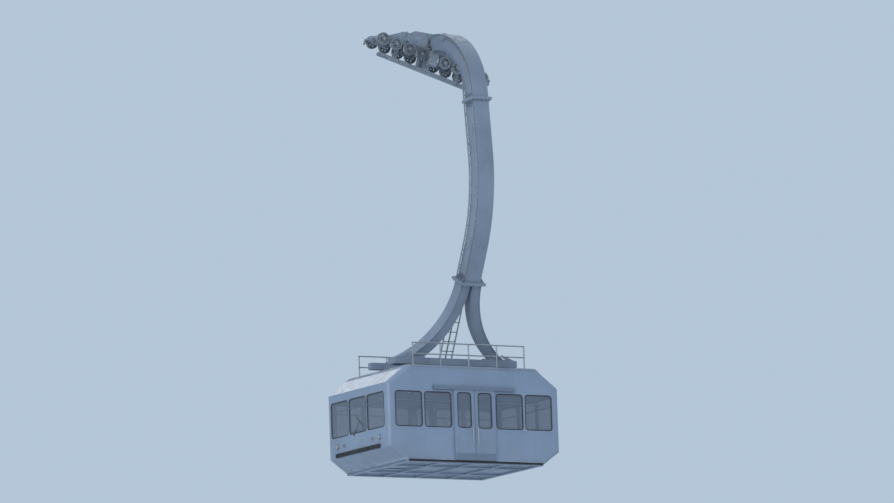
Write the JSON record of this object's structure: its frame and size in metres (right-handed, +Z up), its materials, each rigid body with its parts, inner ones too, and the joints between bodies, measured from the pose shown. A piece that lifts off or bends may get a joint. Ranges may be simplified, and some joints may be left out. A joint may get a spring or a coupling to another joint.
{
  "type": "aerial tramway car with carriage and hanger",
  "caption": "Aerial tramway car: inclined wheeled carriage on balance beams, C-shaped hanger with forked foot, and a low hollow cabin with faceted ends and sliding doors.",
  "frame": {"origin": "on the track's centre line midway between the two running lines, plumb below the hanger's pivot", "axes": "+Z up, +X level and downhill along the track, +Y level towards the support side, away from the hanger's bulge"},
  "size_m": [5.924, 4.9144, 13.0706],
  "materials": {
    "carriage_paint": "satin blue-grey paint, greasy and dusty",
    "bogie_paint": "satin blue-grey paint, oily near the pins",
    "wheel_steel": "machined steel, polished in the grooves",
    "shaft_steel": "turned steel, greased",
    "brake_paint": "satin grey paint, greasy",
    "hanger_paint": "semi-gloss blue-grey paint, lightly chalked",
    "galvanised_steel": "hot-dip galvanised, spangled",
    "damper_rubber": "matt black rubber",
    "cabin_paint": "gloss blue-grey paint, dusty low down",
    "roof_paint": "anti-slip grey-blue coating, weathered",
    "floor_panel": "painted panels below, dark studded rubber on top",
    "underframe_paint": "satin blue-grey paint, spattered",
    "window_glass": "tinted glass",
    "door_paint": "gloss blue-grey paint",
    "rail_aluminium": "anodised aluminium, weathered",
    "buffer_rubber": "matt black rubber, scuffed",
    "lamp_lens": "clear ribbed lens",
    "equipment_paint": "light grey paint",
    "handrail_steel": "brushed stainless steel",
    "locker_paint": "light grey paint",
    "desk_plastic": "grained dark plastic"
  },
  "bodies": {
    "carriage": {"main_beam": "carriage_paint", "pivot_shaft": "shaft_steel", "track_brake": "brake_paint", "haul_drawbar": "brake_paint", "hydraulic_unit": "brake_paint"},
    "balance_beam_uphill": {"balance_beam_uphill": "bogie_paint"},
    "balance_beam_downhill": {"balance_beam_downhill": "bogie_paint"},
    "rocker_1": {"rocker_1": "bogie_paint"},
    "rocker_2": {"rocker_2": "bogie_paint"},
    "rocker_3": {"rocker_3": "bogie_paint"},
    "rocker_4": {"rocker_4": "bogie_paint"},
    "wheel_pair_1": {"wheel_pair_1": "wheel_steel"},
    "wheel_pair_2": {"wheel_pair_2": "wheel_steel"},
    "wheel_pair_3": {"wheel_pair_3": "wheel_steel"},
    "wheel_pair_4": {"wheel_pair_4": "wheel_steel"},
    "wheel_pair_5": {"wheel_pair_5": "wheel_steel"},
    "wheel_pair_6": {"wheel_pair_6": "wheel_steel"},
    "wheel_pair_7": {"wheel_pair_7": "wheel_steel"},
    "wheel_pair_8": {"wheel_pair_8": "wheel_steel"},
    "car": {"hanger_arm": "hanger_paint", "hanger_mast": "hanger_paint", "fork_leg_uphill": "hanger_paint", "fork_leg_downhill": "hanger_paint", "hanger_ladder": "galvanised_steel", "suspension_beams": "hanger_paint", "suspension_cross_beams": "hanger_paint", "suspension_dampers": "damper_rubber", "cabin_roof": "roof_paint", "cabin_floor": "floor_panel", "side_wall_near": "cabin_paint", "side_wall_far": "cabin_paint", "end_wall_uphill": "cabin_paint", "end_wall_downhill": "cabin_paint", "underframe": "underframe_paint", "cabin_windows": "window_glass", "door_rails": "rail_aluminium", "rub_rails": "buffer_rubber", "end_buffers": "buffer_rubber", "headlamps": "lamp_lens", "roof_railings": "galvanised_steel", "roof_equipment": "equipment_paint", "ceiling_grab_rails": "handrail_steel", "wall_handrails": "handrail_steel", "rescue_locker": "locker_paint", "attendant_desk": "desk_plastic"},
    "door_near_uphill": {"door_leaf_near_uphill": "door_paint", "door_glass_near_uphill": "window_glass"},
    "door_near_downhill": {"door_leaf_near_downhill": "door_paint", "door_glass_near_downhill": "window_glass"},
    "door_far_uphill": {"door_leaf_far_uphill": "door_paint", "door_glass_far_uphill": "window_glass"},
    "door_far_downhill": {"door_leaf_far_downhill": "door_paint", "door_glass_far_downhill": "window_glass"},
    "roof_hatch": {"roof_hatch": "roof_paint"},
    "floor_hatch": {"floor_hatch": "floor_panel"}
  },
  "joints": [
    {"name": "balance_beam_uphill_pivot", "type": "hinge", "parent": "carriage", "child": "balance_beam_uphill", "pos_m": [-1.04664, 0, 0.90558], "axis": [0, 1, 0], "range_deg": [-5, 5]},
    {"name": "balance_beam_downhill_pivot", "type": "hinge", "parent": "carriage", "child": "balance_beam_downhill", "pos_m": [0.99986, 0, 0.2799], "axis": [0, 1, 0], "range_deg": [-5, 5]},
    {"name": "rocker_1_pivot", "type": "hinge", "parent": "balance_beam_uphill", "child": "rocker_1", "pos_m": [-1.55182, 0, 0.79233], "axis": [0, 1, 0], "range_deg": [-8, 8]},
    {"name": "rocker_2_pivot", "type": "hinge", "parent": "balance_beam_uphill", "child": "rocker_2", "pos_m": [-0.69115, 0, 0.52919], "axis": [0, 1, 0], "range_deg": [-8, 8]},
    {"name": "rocker_3_pivot", "type": "hinge", "parent": "balance_beam_downhill", "child": "rocker_3", "pos_m": [0.49467, 0, 0.16665], "axis": [0, 1, 0], "range_deg": [-8, 8]},
    {"name": "rocker_4_pivot", "type": "hinge", "parent": "balance_beam_downhill", "child": "rocker_4", "pos_m": [1.35535, 0, -0.09648], "axis": [0, 1, 0], "range_deg": [-8, 8]},
    {"name": "axle_1_spin", "type": "hinge", "parent": "rocker_1", "child": "wheel_pair_1", "pos_m": [-1.79729, 0, 0.74189], "axis": [0, 1, 0], "continuous": true},
    {"name": "axle_2_spin", "type": "hinge", "parent": "rocker_1", "child": "wheel_pair_2", "pos_m": [-1.37652, 0, 0.61325], "axis": [0, 1, 0], "continuous": true},
    {"name": "axle_3_spin", "type": "hinge", "parent": "rocker_2", "child": "wheel_pair_3", "pos_m": [-0.93662, 0, 0.47876], "axis": [0, 1, 0], "continuous": true},
    {"name": "axle_4_spin", "type": "hinge", "parent": "rocker_2", "child": "wheel_pair_4", "pos_m": [-0.51584, 0, 0.35012], "axis": [0, 1, 0], "continuous": true},
    {"name": "axle_5_spin", "type": "hinge", "parent": "rocker_3", "child": "wheel_pair_5", "pos_m": [0.2492, 0, 0.11622], "axis": [0, 1, 0], "continuous": true},
    {"name": "axle_6_spin", "type": "hinge", "parent": "rocker_3", "child": "wheel_pair_6", "pos_m": [0.66997, 0, -0.01242], "axis": [0, 1, 0], "continuous": true},
    {"name": "axle_7_spin", "type": "hinge", "parent": "rocker_4", "child": "wheel_pair_7", "pos_m": [1.10987, 0, -0.14691], "axis": [0, 1, 0], "continuous": true},
    {"name": "axle_8_spin", "type": "hinge", "parent": "rocker_4", "child": "wheel_pair_8", "pos_m": [1.53065, 0, -0.27556], "axis": [0, 1, 0], "continuous": true},
    {"name": "hanger_swing", "type": "hinge", "parent": "carriage", "child": "car", "pos_m": [0, 0, 0.66924], "axis": [0, 1, 0], "range_deg": [-21, 55]},
    {"name": "door_near_downhill_slide", "type": "slide", "parent": "car", "child": "door_near_downhill", "axis": [1, 0, 0], "range_m": [0, 0.64]},
    {"name": "door_near_uphill_slide", "type": "slide", "parent": "car", "child": "door_near_uphill", "axis": [-1, 0, 0], "range_m": [0, 0.64]},
    {"name": "door_far_downhill_slide", "type": "slide", "parent": "car", "child": "door_far_downhill", "axis": [1, 0, 0], "range_m": [0, 0.64]},
    {"name": "door_far_uphill_slide", "type": "slide", "parent": "car", "child": "door_far_uphill", "axis": [-1, 0, 0], "range_m": [0, 0.64]},
    {"name": "roof_hatch_hinge", "type": "hinge", "parent": "car", "child": "roof_hatch", "pos_m": [0.356, 0.3, -9.0697], "axis": [0, 1, 0], "range_deg": [0, 100]},
    {"name": "floor_hatch_hinge", "type": "hinge", "parent": "car", "child": "floor_hatch", "pos_m": [-1.853, 0, -11.87], "axis": [0, -1, 0], "range_deg": [0, 95]}
  ],
  "couplings": [
    {"joint": "door_near_uphill_slide", "follows": "door_near_downhill_slide", "ratio": 1},
    {"joint": "door_far_uphill_slide", "follows": "door_far_downhill_slide", "ratio": 1}
  ]
}
